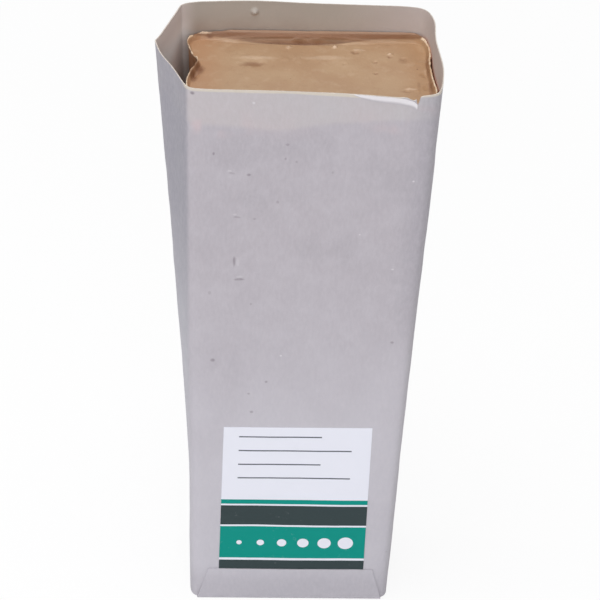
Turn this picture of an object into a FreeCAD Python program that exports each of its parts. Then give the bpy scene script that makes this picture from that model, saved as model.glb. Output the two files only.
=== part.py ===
import FreeCAD, Part

import math
import os

from FreeCAD import Placement, Rotation, Vector

# A bar of buffing compound, cast in a gusseted paper sleeve that it stands in.
# Millimetres. X runs along the width, Y from the labelled front to the back, Z up.
# The origin is the middle of the foot, where the sleeve meets what it stands on.

# Sleeve, outside: the mould's draft makes it wider and deeper towards the rim.
sleeve_height = 185.0
foot_width = 59.8
rim_width = 70.0
foot_depth = 35.3
rim_depth = 45.9
corner_radius = 3.2
paper = 0.3
bottom_plies = 3

# Gusset creases in the two side panels. The left one has sprung outwards. The right one is pressed in,
# with a swelling in front of it. Each starts as a slight fold at the foot and opens steadily from the
# height where the paper comes free.
crease_rounding = 1.6
crease_foot_relief = 0.25
left_crease_y = 1.0
left_crease_out = 8.7
crease_from = 45.0
right_crease_y = 5.0
right_crease_in = 0.3
right_swell_y = -10.0
right_swell_out = 1.5
swell_rounding = 2.0

# Upper rim: the front edge sags towards a short tear, and the back edge rises a little.
front_rim_sag = [(-21.0, -0.2), (2.0, -0.8), (12.0, -1.2), (27.0, -2.3)]
back_rim_rise = [(-27.0, 1.0), (-16.0, 1.4), (-3.0, 0.9), (24.0, 0.4)]
rim_wave_margin = 2.5
tear_x = 28.7
tear_width = 2.6
tear_depth = 4.2

# Closing flap: a band of the back panel, folded under the foot and up the front.
flap_tip_width = 49.6
flap_height = 11.5

# Glued lap seam of the tube, along the middle of the back.
seam_width = 9.0

# Bar: it fills the sleeve up to its lip, and its top has sunk a little as it set.
# Along the back the wax clung to the paper, so the lip stands higher there.
headroom = 9.0
bar_clearance = 0.1
lip_height = 1.8
lip_width = 0.8
lip_slope = 1.2
back_lip_rise = 1.2
back_lip_reach = 4.5
back_left_rounding = 4.0
groove_y = 7.5
groove_depth = 3.0
groove_foot_depth = 0.8
groove_front_reach = 11.0
groove_rounding = 1.2
shoulder_out = 0.8
shoulder_rounding = 3.0
dip_length = 58.0
dip_width = 6.4
dip_depth = 1.8
dip_from_back = 5.2

# Label, glued to the front panel.
label_width = 43.7
label_height = 54.6
label_centre_up = 39.2
label_shift = 0.2
label_thickness = 0.12

# What the sizes above lead to.
floor_top = bottom_plies * paper
lip_top = sleeve_height - headroom
bar_surface = lip_top - lip_height
back_lip_top = lip_top + back_lip_rise
flap_width = foot_width - 2 * corner_radius
panel_tilt = math.degrees(math.atan((rim_depth - foot_depth) / 2 / sleeve_height))
rim_clear = sleeve_height + 2 * max(rise for _, rise in back_rim_rise)


def between(foot_value, rim_value, z):
    """A value that changes steadily from the foot to the rim."""
    return foot_value + (rim_value - foot_value) * z / sleeve_height


def crease(opening, z):
    """How far a gusset crease stands off its panel at height z."""
    free = max(0.0, z - crease_from) / (sleeve_height - crease_from)
    return crease_foot_relief + (opening - crease_foot_relief) * free


def rounded_wire(corners, z):
    """A closed outline at height z. Each corner is (x, y, reach), and an arc starts that far from it."""
    points = [Vector(x, y, z) for x, y, _ in corners]
    arcs = []
    for i, corner in enumerate(points):
        reach = corners[i][2]
        arriving = (corner - points[i - 1]).normalize()
        leaving = (points[(i + 1) % len(points)] - corner).normalize()
        inwards = (leaving - arriving).normalize()
        middle = corner + inwards * reach * math.tan(arriving.getAngle(leaving) / 4)
        arcs.append((corner - arriving * reach, middle, corner + leaving * reach))
    edges = []
    for i, arc in enumerate(arcs):
        edges.append(Part.Arc(*arc).toShape())
        edges.append(Part.LineSegment(arc[2], arcs[(i + 1) % len(arcs)][0]).toShape())
    return Part.Wire(edges)


def sleeve_outline(z, inset=0.0):
    """The sleeve's section at height z, or its inner face where inset is the paper's thickness."""
    x = between(foot_width, rim_width, z) / 2 - inset
    y = between(foot_depth, rim_depth, z) / 2 - inset
    radius = corner_radius - inset
    corners = [
        (-x, -y, radius),
        (x, -y, radius),
        (x + crease(right_swell_out, z), right_swell_y, swell_rounding),
        (x - crease(right_crease_in, z), right_crease_y, crease_rounding),
        (x, y, radius),
        (-x, y, radius),
        (-x - crease(left_crease_out, z), left_crease_y, crease_rounding),
    ]
    return rounded_wire(corners, z)


def bar_outline(z, inset=0.0):
    """The bar's section at height z: the sleeve's inner face less a clearance, with the left end's groove."""
    gap = paper + bar_clearance + inset
    x = between(foot_width, rim_width, z) / 2 - gap
    y = between(foot_depth, rim_depth, z) / 2 - gap
    radius = max(corner_radius - gap, paper)
    groove = between(groove_foot_depth, groove_depth, z)
    shoulder = between(0.0, shoulder_out, z)
    corners = [
        (-x, -y, radius),
        (x, -y, radius),
        (x + crease(right_swell_out, z), right_swell_y, swell_rounding),
        (x - crease(right_crease_in, z), right_crease_y, crease_rounding),
        (x, y, radius),
        (-x, y, back_left_rounding),
        (-x + groove, groove_y, groove_rounding),
        (-x - shoulder, groove_y - groove_front_reach, shoulder_rounding),
    ]
    return rounded_wire(corners, z)


def loft(wires):
    """A solid with straight sides through the outlines."""
    return Part.makeLoft(wires, True, True)


def prism(corners, direction):
    """A solid made by moving a flat straight-sided outline along a direction."""
    return Part.Face(Part.makePolygon(corners + corners[:1])).extrude(direction)


def panel_sheet(outline, thickness, at_back=False):
    """A sheet on the front or back panel. The outline is (across, up the panel)."""
    sheet = prism([Vector(across, up, 0) for across, up in outline], Vector(0, 0, thickness))
    sheet.Placement = Placement(Vector(0, -foot_depth / 2, 0), Rotation(Vector(1, 0, 0), 90 + panel_tilt))
    if at_back:
        sheet.rotate(Vector(0, 0, 0), Vector(0, 0, 1), 180)
    return sheet


def rim_cutter(wave, y_from, y_to):
    """What lies above the rim between two depths. The rim is level beside the wave's points."""
    level = between(foot_width, rim_width, sleeve_height) / 2 - rim_wave_margin
    far = rim_width / 2 + left_crease_out + rim_width
    high = sleeve_height + rim_width
    shoulders = [(-level, 0.0)] + wave + [(level, 0.0)]
    points = [Vector(x, y_from, sleeve_height + rise) for x, rise in shoulders]
    curve = Part.BSplineCurve()
    curve.interpolate(points)
    left_end = Vector(-far, y_from, sleeve_height)
    right_end = Vector(far, y_from, sleeve_height)
    top_right = Vector(far, y_from, high)
    top_left = Vector(-far, y_from, high)
    edges = [
        Part.makeLine(left_end, points[0]),
        curve.toShape(),
        Part.makeLine(points[-1], right_end),
        Part.makeLine(right_end, top_right),
        Part.makeLine(top_right, top_left),
        Part.makeLine(top_left, left_end),
    ]
    return Part.Face(Part.Wire(edges)).extrude(Vector(0, y_to - y_from, 0))


def make_tear():
    """The short V torn into the front edge."""
    top = sleeve_height + paper
    corners = [
        Vector(tear_x - tear_width / 2, -rim_depth, top),
        Vector(tear_x + tear_width / 2, -rim_depth, top),
        Vector(tear_x, -rim_depth, sleeve_height - tear_depth),
    ]
    return prism(corners, Vector(0, rim_depth, 0))


def make_closing_flap():
    """The flap's end on the front panel, narrower towards its edge."""
    outline = [
        (-flap_width / 2, paper),
        (flap_width / 2, paper),
        (flap_tip_width / 2, flap_height),
        (-flap_tip_width / 2, flap_height),
    ]
    return panel_sheet(outline, paper)


def make_back_seam():
    """The outer ply of the lap seam, from the closing fold to the rim."""
    outline = [
        (-seam_width / 2, paper),
        (seam_width / 2, paper),
        (seam_width / 2, rim_clear),
        (-seam_width / 2, rim_clear),
    ]
    return panel_sheet(outline, paper, at_back=True)


def make_side_rebates():
    """The step on the underside between the closing band and the tucks folded in beside it."""
    width = foot_width - flap_width
    right = Part.makeBox(width, rim_depth, paper, Vector(flap_width / 2, -rim_depth / 2, 0))
    left = Part.makeBox(width, rim_depth, paper, Vector(-flap_width / 2 - width, -rim_depth / 2, 0))
    return right.fuse(left)


def make_sleeve():
    """The paper sleeve: a gusseted tube, shut under the bar and open above it."""
    outside = loft([sleeve_outline(z) for z in (0.0, crease_from, rim_clear)])
    heights = (floor_top, crease_from, rim_clear + paper)
    inside = loft([sleeve_outline(z, paper) for z in heights])
    folded = outside.fuse([make_closing_flap(), make_back_seam()]).cut(inside)
    folded = folded.cut(make_side_rebates())
    folded = folded.cut(rim_cutter(front_rim_sag, -rim_depth, 0.0))
    folded = folded.cut(rim_cutter(back_rim_rise, 0.0, rim_depth))
    return folded.cut(make_tear()).removeSplitter()


def make_dip():
    """The long shrinkage dip in front of the back lip: the belly of a round rod that is bent upwards."""
    rod = (dip_width ** 2 / 4 + dip_depth ** 2) / (2 * dip_depth)
    bend = (dip_length ** 2 / 4 + dip_depth ** 2) / (2 * dip_depth)
    y = between(foot_depth, rim_depth, bar_surface) / 2 - paper - dip_from_back
    lowest = bar_surface - dip_depth
    pivot = Vector(0, y, lowest + bend)
    swing = math.degrees(math.asin(dip_length / 2 / bend))
    end = Part.Face(Part.Wire(Part.makeCircle(rod, Vector(0, y, lowest + rod), Vector(1, 0, 0))))
    end.rotate(pivot, Vector(0, 1, 0), -swing)
    return end.revolve(pivot, Vector(0, 1, 0), 2 * swing)


def make_lip_trim():
    """What lies above the lip: level, and sloping up to the back."""
    left = -rim_width
    back = between(foot_depth, rim_depth, lip_top) / 2 - paper
    profile = [
        Vector(left, -rim_depth, lip_top),
        Vector(left, back - back_lip_reach, lip_top),
        Vector(left, back, back_lip_top),
        Vector(left, rim_depth, back_lip_top),
        Vector(left, rim_depth, rim_clear),
        Vector(left, -rim_depth, rim_clear),
    ]
    return prism(profile, Vector(2 * rim_width, 0, 0))


def make_bar():
    """The cast bar: tapered, grooved at its left end, with a thin lip round its sunken top."""
    over = back_lip_top + paper
    block = loft([bar_outline(z) for z in (floor_top, crease_from, over)])
    sunken_top = loft([bar_outline(bar_surface, lip_width + lip_slope), bar_outline(over, lip_width)])
    return block.cut([make_lip_trim(), sunken_top, make_dip()]).removeSplitter()


def make_label():
    """The label on the front panel, above the closing flap."""
    left = label_shift - label_width / 2
    right = label_shift + label_width / 2
    low = label_centre_up - label_height / 2
    high = label_centre_up + label_height / 2
    return panel_sheet([(left, low), (right, low), (right, high), (left, high)], label_thickness)


os.makedirs("parts", exist_ok=True)
make_sleeve().exportStep("parts/paper_sleeve.step")
make_bar().exportStep("parts/compound_bar.step")
make_label().exportStep("parts/label.step")
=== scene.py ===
import math

import bmesh
import bpy
from mathutils import Matrix, Vector


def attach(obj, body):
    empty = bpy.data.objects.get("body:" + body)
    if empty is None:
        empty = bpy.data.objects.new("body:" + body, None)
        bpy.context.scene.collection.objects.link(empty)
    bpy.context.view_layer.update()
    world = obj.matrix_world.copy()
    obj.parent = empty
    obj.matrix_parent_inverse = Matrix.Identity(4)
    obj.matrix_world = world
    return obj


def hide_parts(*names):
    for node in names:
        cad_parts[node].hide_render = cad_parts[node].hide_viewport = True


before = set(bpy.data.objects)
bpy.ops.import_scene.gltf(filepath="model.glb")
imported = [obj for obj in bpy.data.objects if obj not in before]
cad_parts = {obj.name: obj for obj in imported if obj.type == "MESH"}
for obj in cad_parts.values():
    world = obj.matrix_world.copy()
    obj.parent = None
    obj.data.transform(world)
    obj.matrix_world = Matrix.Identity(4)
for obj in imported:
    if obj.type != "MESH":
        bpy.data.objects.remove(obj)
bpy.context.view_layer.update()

MM = 0.001

# Sleeve, outside, as the solid model has it: wider and deeper towards the rim.
SLEEVE_HEIGHT = 185.0 * MM
FOOT_WIDTH = 59.8 * MM
RIM_WIDTH = 70.0 * MM
FOOT_DEPTH = 35.3 * MM
RIM_DEPTH = 45.9 * MM
CORNER = 3.2 * MM
PAPER = 0.3 * MM
FREE_FROM = 45.0 * MM
PANEL_TILT = math.atan((RIM_DEPTH - FOOT_DEPTH) / 2 / SLEEVE_HEIGHT)

# How far the rim stands out from straight side panels, from the back corner to the front corner.
LEFT_RIM_OUT = [2.2, 3.9, 5.7, 7.4, 8.7, 7.4, 4.7, 3.0, 1.4]
RIGHT_RIM_OUT = [-0.2, 0.9, 0.4, 0.3, 0.6, 1.1, 1.5, 1.1, 0.6]
# The same for the four corners, as (side, end, how far): left and front are -1, right and back are 1.
CORNERS_OUT = [(-1, 1, -2.3), (-1, -1, -1.2), (1, 1, -0.9), (1, -1, 0.6)]
# How far back and up the left crease lies at the rim.
CREASE_BACK = 1.6 * MM
CREASE_UP = 0.5 * MM
# How far the rim rises or sags, from left to right.
FRONT_RIM_RISE = [-0.1, -0.2, -0.2, -0.3, -0.6, -0.8, -1.1, -1.5, -2.3, -0.9]
BACK_RIM_RISE = [0.5, 1.0, 1.3, 1.3, 0.9, 0.7, 0.5, 0.4, 0.4, 0.0]
TEAR_X = 28.7 * MM
TEAR_WIDTH = 2.6 * MM
TEAR_DEPTH = 4.2 * MM
# The lower and upper edges of the bared ply beside the tear, as (distance right of the middle, height).
BARE_EDGE = [(28.6, 178.9), (28.0, 179.6), (26.6, 180.2), (24.0, 180.7),
             (20.0, 181.2), (16.0, 181.8), (13.0, 182.7), (11.0, 183.7)]
BARE_TOP = [(28.6, 180.9), (27.6, 181.9), (25.0, 182.6), (22.0, 183.0), (16.0, 183.5), (11.0, 183.85)]
# The pour line across the front: its lowest height, and how far it rises.
POUR_LOW = 170.7 * MM
POUR_RISE = 5.0 * MM
# Marks in the front paper, as (x, height, half width, half height, strength). A negative one is paler.
PAPER_MARKS = [(-33.6, 183.4, 0.7, 0.6, 0.8), (-27.2, 163.5, 0.4, 0.6, 0.6), (-6.7, 166.9, 0.6, 0.5, 0.5),
               (-7.1, 162.2, 0.4, 0.5, 0.5), (-4.0, 161.2, 0.4, 0.5, 0.4), (-17.2, 156.6, 0.7, 0.5, 0.6),
               (-8.8, 147.5, 0.5, 0.6, 0.4), (6.2, 157.7, 0.4, 0.5, 0.3), (-15.2, 111.6, 0.4, 0.5, 0.4),
               (26.1, 98.2, 0.6, 0.5, 0.6), (-25.6, 91.2, 0.8, 0.7, 0.6), (-9.8, 83.4, 0.5, 0.5, 0.5),
               (-14.8, 78.9, 0.5, 0.4, 0.4), (-13.7, 72.2, 0.6, 0.5, 0.5), (-20.4, 126.5, 0.45, 2.0, 0.55),
               (-18.8, 120.1, 1.7, 0.45, 0.6), (-27.1, 115.4, 0.5, 0.8, 0.3), (-21.8, 156.9, 1.0, 0.4, 0.35),
               (-15.1, 141.5, 0.5, 0.4, 0.4), (-20.0, 141.9, 1.2, 0.4, 0.4), (-19.3, 126.3, 0.5, 1.4, -0.2),
               (-18.6, 121.1, 1.2, 0.5, -0.2), (-16.6, 180.6, 0.5, 0.5, -0.5), (-20.7, 142.9, 0.6, 0.4, -0.3),
               (-22.6, 157.7, 0.8, 0.4, -0.3), (29.0, 155.0, 0.4, 0.4, -0.6), (14.8, 136.5, 0.35, 0.35, -0.5),
               (24.8, 124.3, 0.5, 0.4, -0.5), (-5.9, 93.0, 0.4, 0.4, -0.6)]
# Soft dark clouds in the front paper, as (x, height, half width, half height).
PAPER_CLOUDS = [(1.4, 131.0, 6.0, 7.0), (10.8, 131.2, 5.0, 7.0), (-15.3, 148.1, 6.0, 7.0),
                (22.2, 155.5, 9.0, 9.0), (-3.6, 167.0, 14.0, 6.0), (-20.0, 163.0, 9.0, 8.0)]
# Small creases and nicks in the front paper, as (x, height, depth, spread).
PAPER_NICKS = [(-20.0, 127.5, 0.35, 2.0), (-19.4, 125.0, -0.3, 2.0), (-18.6, 120.1, 0.4, 2.0),
               (-20.7, 142.1, 0.35, 1.8), (-22.6, 157.0, 0.3, 1.8), (29.0, 155.0, 0.35, 2.0),
               (14.8, 136.5, 0.3, 2.2), (24.8, 124.3, 0.35, 2.2), (-5.9, 93.0, 0.3, 2.2),
               (-16.6, 180.6, 0.3, 1.6), (8.0, 4.0, 0.3, 4.0), (20.0, 3.0, 0.3, 4.0)]
# A poked dimple high on the inside of the back, and where the right side presses in towards the bar.
DIMPLE = (-15.4 * MM, RIM_DEPTH / 2, 182.7 * MM)
DIMPLE_DEPTH = 1.1 * MM
PINCH = (35.6 * MM, 15 * MM, 175 * MM)
PINCH_DEPTH = 0.45 * MM
# The waves of the front rim's sag and of the pour line, from left to right, as shares.
RIM_SAG = 2.4 * MM
RIM_WAVE = [(0.0, 0.0), (0.16, 0.08), (0.35, 0.12), (0.5, 0.3), (0.65, 0.45),
            (0.78, 0.62), (0.88, 0.9), (0.94, 0.5), (1.0, 0.3)]
POUR_WAVE = [(0.0, 0.46), (0.12, 0.28), (0.3, 0.08), (0.47, 0.36), (0.69, 0.64), (0.82, 0.74), (1.0, 0.94)]

# Closing band and back seam.
FLAP_FOOT_WIDTH = 55.8 * MM
FLAP_TIP_WIDTH = 49.6 * MM
FLAP_CORNER = 2.0 * MM
FLAP_HEIGHT = 11.5 * MM
SEAM_WIDTH = 9.0 * MM

# Bar: its top, and how far its ends reach, as (distance back from the middle, reach) from back to front.
BAR_LIP = 176.0 * MM
BAR_SURFACE = 174.2 * MM
LIP_WIDTH = 0.4 * MM
LIP_SLOPE = 0.6 * MM
WALL_TUCK = 0.7 * MM
BAR_FOOT = 0.9 * MM
BAR_DEPTH_AT_LIP = 44.3 * MM
LEFT_END = [(22.2, 31.0), (20.6, 33.4), (19.0, 34.4), (17.4, 34.6), (14.5, 34.1), (11.3, 33.4),
            (9.5, 32.9), (7.9, 31.5), (6.3, 31.9), (3.7, 33.0), (0.0, 34.3), (-2.7, 34.9), (-5.0, 35.1),
            (-9.0, 34.7), (-19.0, 34.1), (-20.6, 33.4), (-22.2, 30.9)]
RIGHT_END = [(22.2, 31.0), (20.6, 33.3), (18.8, 34.1), (15.5, 34.7), (11.7, 34.8), (9.0, 34.4),
             (5.7, 34.3), (1.4, 34.5), (-2.8, 34.9), (-6.0, 35.4), (-12.0, 35.4), (-19.0, 34.2),
             (-20.6, 33.4), (-22.2, 30.9)]
# The steps of the back lip, as (how far back it starts, how far left, its rise).
BACK_LIP_STEPS = [(21.6, -24, 0.5), (20.4, -27, 0.3), (18.0, -30, 0.3)]
# The rows of the slope and the dip in front of it, as (how far back, left end, right end, height).
DIP_ROWS = [(21.1, -29, 29, 0.9), (21.1, -24, 17, 0.9), (20.57, -26, 18, 0.7),
            (20.05, -29, 29, -0.2), (20.05, -21, 13, -1.0), (19.5, -20, 12, -0.2)]
# Dents, pits and bumps of the top, as (x, y, height, spread), and crumbs on its lip, as (x, y, height).
TOP_DENTS = [(-17.5, 8.4, -0.15, 2.4), (-15.5, 8.2, -0.2, 2.6), (-13.4, 8.3, -0.15, 2.2),
             (-31.4, 6.0, -0.5, 1.6), (-32.1, 4.2, -0.9, 2.2), (-32.8, 2.0, -0.7, 2.2),
             (32.9, 4.0, -0.5, 2.2), (32.6, 12.0, -0.4, 2.6), (33.2, -3.0, -0.5, 2.2),
             (-22.0, 18.0, -0.3, 4.0), (16.0, 18.0, -0.3, 5.0), (0.0, 15.5, -0.3, 6.0)]
TOP_PITS = [(13.3, 15.4, -0.4, 1.4), (19.0, 10.1, -0.5, 0.8), (18.9, 4.2, -0.5, 0.8), (23.2, 13.0, -0.5, 0.9),
            (26.8, 11.7, -0.3, 1.4), (-2.0, 12.4, -0.3, 0.7), (10.0, 9.0, -0.3, 0.7), (27.2, -5.2, -0.3, 1.2)]
TOP_BUMPS = [(-5.4, 17.6, 0.5, 1.1), (7.7, 18.0, 0.7, 0.9), (23.2, 14.2, 0.5, 0.9), (14.4, 16.6, 0.3, 1.4),
             (-18.0, 11.3, 0.3, 2.0), (-13.0, 11.1, 0.3, 2.0), (-7.0, 10.9, 0.25, 2.0),
             (2.0, 11.6, 0.25, 2.0), (8.0, 11.9, 0.25, 2.0), (28.0, -3.6, 0.3, 1.2), (30.0, -4.6, 0.35, 1.2)]
LIP_CRUMBS = [(-29.9, 21.9, 0.35), (-28.9, 21.8, 0.35), (33.5, 19.2, 0.5), (34.4, 16.8, 0.45),
              (34.3, 9.7, 0.5), (34.5, 3.0, 0.4), (-34.2, 14.5, 0.3), (-31.6, 8.2, 0.5), (-33.5, 2.4, 0.3)]
CRUMB_SPREAD = 0.7 * MM
# The front edge of the painted shade in the shrinkage dip along the back, as shares of its length and depth.
DIP_FROM = -28.0 * MM
DIP_TO = 24.0 * MM
DIP_NEAR = 19.0 * MM
DIP_DEEP = 4.0 * MM
DIP_SHADE_EDGE = [(0.0, 0.95), (0.085, 0.72), (0.165, 0.43), (0.287, 0.15), (0.385, 0.08), (0.494, 0.05),
            (0.606, 0.1), (0.688, 0.2), (0.771, 0.43), (0.827, 0.6), (1.0, 0.9)]

# Dark marks in the bar's top, mostly painted shade in its dents, pits, wrinkles, dip and the hollow inside
# the left lip, and pale ones, painted highlights on its bumps, streaks and wrinkles, as (x, y, half length,
# half depth, strength). A negative one is paler.
WAX_SHADES_HIGHLIGHTS_AND_STAINS = [(-14.5, 11.5, 7.5, 1.5, -0.42), (4.5, 12.2, 9.0, 1.7, -0.4), (-1.6, 19.9, 13.5, 0.7, 0.8),
              (-16.0, 8.2, 4.8, 1.9, 0.6), (-31.5, 4.8, 2.4, 3.4, 0.95), (-33.0, 0.8, 1.7, 3.6, 0.9),
              (-32.6, 9.5, 1.2, 2.5, 0.4), (19.0, 10.1, 0.7, 0.7, 0.7), (18.9, 4.2, 0.7, 0.7, 0.6),
              (23.2, 13.0, 1.0, 0.8, 0.5), (13.3, 15.2, 1.8, 1.5, 0.45), (26.8, 11.0, 2.0, 2.4, 0.3),
              (33.6, 8.0, 0.9, 8.0, 0.6), (33.9, -4.0, 0.9, 9.0, 0.6), (7.7, 18.0, 0.9, 0.8, -0.9),
              (23.2, 14.4, 0.8, 0.6, -0.8), (-5.4, 17.6, 1.3, 0.8, -0.4), (14.6, 16.9, 2.2, 0.8, -0.5),
              (28.5, -4.0, 2.6, 0.6, -0.5), (27.0, -5.4, 2.4, 0.5, 0.35), (30.6, -2.0, 0.6, 2.4, 0.3)]
# A flake on the back lip and the dark nick beside it, as (place, half sizes, strength).
FLAKE_MARKS = [((-29.6, 21.9, 176.3), (2.4, 1.2, 0.7), -0.95), ((-27.9, 20.9, 175.3), (1.5, 1.0, 0.8), 0.95)]

# Label.
LABEL_WIDTH = 43.7 * MM
LABEL_HEIGHT = 54.6 * MM
LABEL_UP = 39.2 * MM
LABEL_SHIFT = 0.2 * MM
LABEL_THICK = 0.12 * MM

# Camera: it looks down on the bar from a little left of its middle.
CAMERA_PLACE = (-0.0555, -0.8969, 0.7301)
CAMERA_YAW = 3.55
CAMERA_PITCH = 35.10
CAMERA_ROLL = 2.74
LENS = 225.0

# Light: the place and power of each lamp, and the surroundings' level as a light.
KEY_PLACE = (-0.1, -1.65, 0.9)
KEY_POWER = 9.6
LEFT_PLACE = (-1.2, -0.9, 0.7)
LEFT_POWER = 2.6
TOP_PLACE = (-0.2, -0.1, 1.6)
TOP_POWER = 12.6
LAMP_SIZE = 1.0
FILL_LEVEL = 0.4
FLOOR_GLOW = 0.88


# Modelling helpers

def deselect():
    if bpy.context.object and bpy.context.object.mode != "OBJECT":
        bpy.ops.object.mode_set(mode="OBJECT")
    bpy.ops.object.select_all(action="DESELECT")


def make_active(piece):
    deselect()
    piece.select_set(True)
    bpy.context.view_layer.objects.active = piece


def keep_place(piece, name):
    """Puts the new piece's place into its mesh and names it."""
    bpy.ops.object.transform_apply(location=True, rotation=True, scale=True)
    piece.name = name
    piece.data.name = name
    return piece


def add_box(name, low, high):
    deselect()
    middle = [(a + b) / 2 for a, b in zip(low, high)]
    size = [b - a for a, b in zip(low, high)]
    bpy.ops.mesh.primitive_cube_add(size=1.0, location=middle, scale=size)
    return keep_place(bpy.context.object, name)


def edit(piece):
    make_active(piece)
    bpy.ops.object.mode_set(mode="EDIT")


def done():
    bpy.ops.object.mode_set(mode="OBJECT")


def choose(kind, test):
    """In edit mode, selects the vertices, edges or faces that pass the test, and nothing else."""
    bpy.ops.mesh.select_mode(type="VERT")
    bpy.ops.mesh.select_all(action="DESELECT")
    bpy.ops.mesh.select_mode(type=kind)
    mesh = bmesh.from_edit_mesh(bpy.context.object.data)
    parts = {"VERT": mesh.verts, "EDGE": mesh.edges, "FACE": mesh.faces}[kind]
    for part in parts:
        if test(part):
            part.select_set(True)
    mesh.select_flush_mode()
    bmesh.update_edit_mesh(bpy.context.object.data)


def run(edge):
    """An edge's direction, without a sign."""
    along = edge.verts[1].co - edge.verts[0].co
    return Vector([abs(value) for value in along])


def middle(edge):
    return (edge.verts[0].co + edge.verts[1].co) / 2


def move(by, spread=0.0, falloff="SMOOTH"):
    """Moves what is selected. A spread takes the neighbours along, less and less."""
    if spread:
        bpy.ops.transform.translate(
            value=by, use_proportional_edit=True, proportional_edit_falloff=falloff,
            proportional_size=spread, use_proportional_connected=True)
    else:
        bpy.ops.transform.translate(value=by)


def pull(place, by, spread, falloff="SMOOTH"):
    """Moves the vertex nearest to a place, and its neighbours within the spread."""
    mesh = bmesh.from_edit_mesh(bpy.context.object.data)
    nearest = min(mesh.verts, key=lambda v: (v.co - Vector(place)).length).index
    choose("VERT", lambda v: v.index == nearest)
    move(by, spread, falloff)


def finish_with(piece, kind, **settings):
    """Adds a modifier and applies it."""
    make_active(piece)
    modifier = piece.modifiers.new(kind.lower(), kind)
    for name, value in settings.items():
        setattr(modifier, name, value)
    bpy.ops.object.modifier_apply(modifier=modifier.name)


def smooth(piece, levels):
    finish_with(piece, "SUBSURF", levels=levels, render_levels=levels)


def shade(piece, angle=40.0):
    make_active(piece)
    bpy.ops.object.shade_smooth_by_angle(angle=math.radians(angle))


def crumple(piece, size, strength, group=""):
    """Pushes the surface in and out by soft noise."""
    clouds = bpy.data.textures.new("crumple", "CLOUDS")
    clouds.noise_scale = size
    clouds.noise_depth = 2
    finish_with(piece, "DISPLACE", texture=clouds, strength=strength, mid_level=0.5,
                texture_coords="LOCAL", vertex_group=group)


def weigh(piece, name, weight):
    """A vertex group whose weights come from each vertex's place."""
    group = piece.vertex_groups.new(name=name)
    for vertex in piece.data.vertices:
        group.add([vertex.index], weight(vertex.co), "REPLACE")
    return name


def ramp(value, low, high):
    """0 below the low end, 1 above the high end, and steady between."""
    return min(max((value - low) / (high - low), 0.0), 1.0)


def between(foot_value, rim_value, z):
    """A value that changes steadily from the foot to the rim."""
    return foot_value + (rim_value - foot_value) * z / SLEEVE_HEIGHT


def at_rim(vertex):
    return vertex.co.z > SLEEVE_HEIGHT - MM


# Sleeve

def build_sleeve():
    """The gusseted paper tube: a box without ends, tapered, with its rim pulled to shape."""
    low = (-FOOT_WIDTH / 2, -FOOT_DEPTH / 2, PAPER)
    high = (FOOT_WIDTH / 2, FOOT_DEPTH / 2, SLEEVE_HEIGHT)
    tube = add_box("sleeve", low, high)
    edit(tube)
    choose("FACE", lambda f: abs(f.normal.z) > 0.9)
    bpy.ops.mesh.delete(type="ONLY_FACE")
    choose("VERT", at_rim)
    bpy.ops.transform.resize(value=(RIM_WIDTH / FOOT_WIDTH, RIM_DEPTH / FOOT_DEPTH, 1.0),
                             center_override=(0.0, 0.0, SLEEVE_HEIGHT))
    choose("EDGE", lambda e: run(e).z > FREE_FROM)
    bpy.ops.mesh.bevel(offset=CORNER, segments=2, affect="EDGES")
    choose("EDGE", lambda e: run(e).x > FOOT_WIDTH / 2)
    bpy.ops.mesh.subdivide(number_cuts=len(FRONT_RIM_RISE) - 2)
    choose("EDGE", lambda e: run(e).y > FOOT_DEPTH / 2)
    bpy.ops.mesh.subdivide(number_cuts=len(LEFT_RIM_OUT) - 2)
    bpy.ops.mesh.select_all(action="SELECT")
    bpy.ops.mesh.bisect(plane_co=(0.0, 0.0, FREE_FROM), plane_no=(0.0, 0.0, 1.0))
    pull_rim_sideways()
    choose("EDGE", lambda e: run(e).z > FREE_FROM * 2)
    bpy.ops.mesh.subdivide(number_cuts=9)
    choose("EDGE", lambda e: run(e).z > FREE_FROM / 2)
    bpy.ops.mesh.subdivide(number_cuts=3)
    choose("EDGE", lambda e: run(e).z > 5 * MM and middle(e).z > SLEEVE_HEIGHT - 22 * MM)
    bpy.ops.mesh.subdivide(number_cuts=1)
    raise_rim()
    crease_left_gusset()
    done()
    return tube


def pull_rim_sideways():
    """Moves each point of the side panels' rim outwards, and then the corners."""
    flat = RIM_DEPTH / 2 - CORNER
    for side, outs in ((-1, LEFT_RIM_OUT), (1, RIGHT_RIM_OUT)):
        for i, out in enumerate(outs):
            y = flat - i * 2 * flat / (len(outs) - 1)
            choose("VERT", lambda v: at_rim(v) and v.co.x * side > RIM_WIDTH / 2 - 0.4 * MM
                   and abs(v.co.y - y) < MM)
            move((side * out * MM, 0.0, 0.0))
            if out == max(LEFT_RIM_OUT):
                move((0.0, CREASE_BACK, CREASE_UP))
    for side, end, out in CORNERS_OUT:
        choose("VERT", lambda v: at_rim(v) and RIM_WIDTH / 2 - CORNER - MM < v.co.x * side
               and v.co.x * side < RIM_WIDTH / 2 - 0.4 * MM and v.co.y * end > flat + 0.4 * MM)
        move((out * MM, 0.0, 0.0))


def raise_rim():
    """Gives the front and back edges their waves."""
    flat = RIM_WIDTH / 2 - CORNER
    for end, rises in ((-1, FRONT_RIM_RISE), (1, BACK_RIM_RISE)):
        for i, rise in enumerate(rises):
            x = -flat + i * 2 * flat / (len(rises) - 1)
            choose("VERT", lambda v: at_rim(v) and v.co.y * end > RIM_DEPTH / 2 - MM
                   and abs(v.co.x - x) < 3 * MM)
            move((0.0, 0.0, rise * MM))


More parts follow.
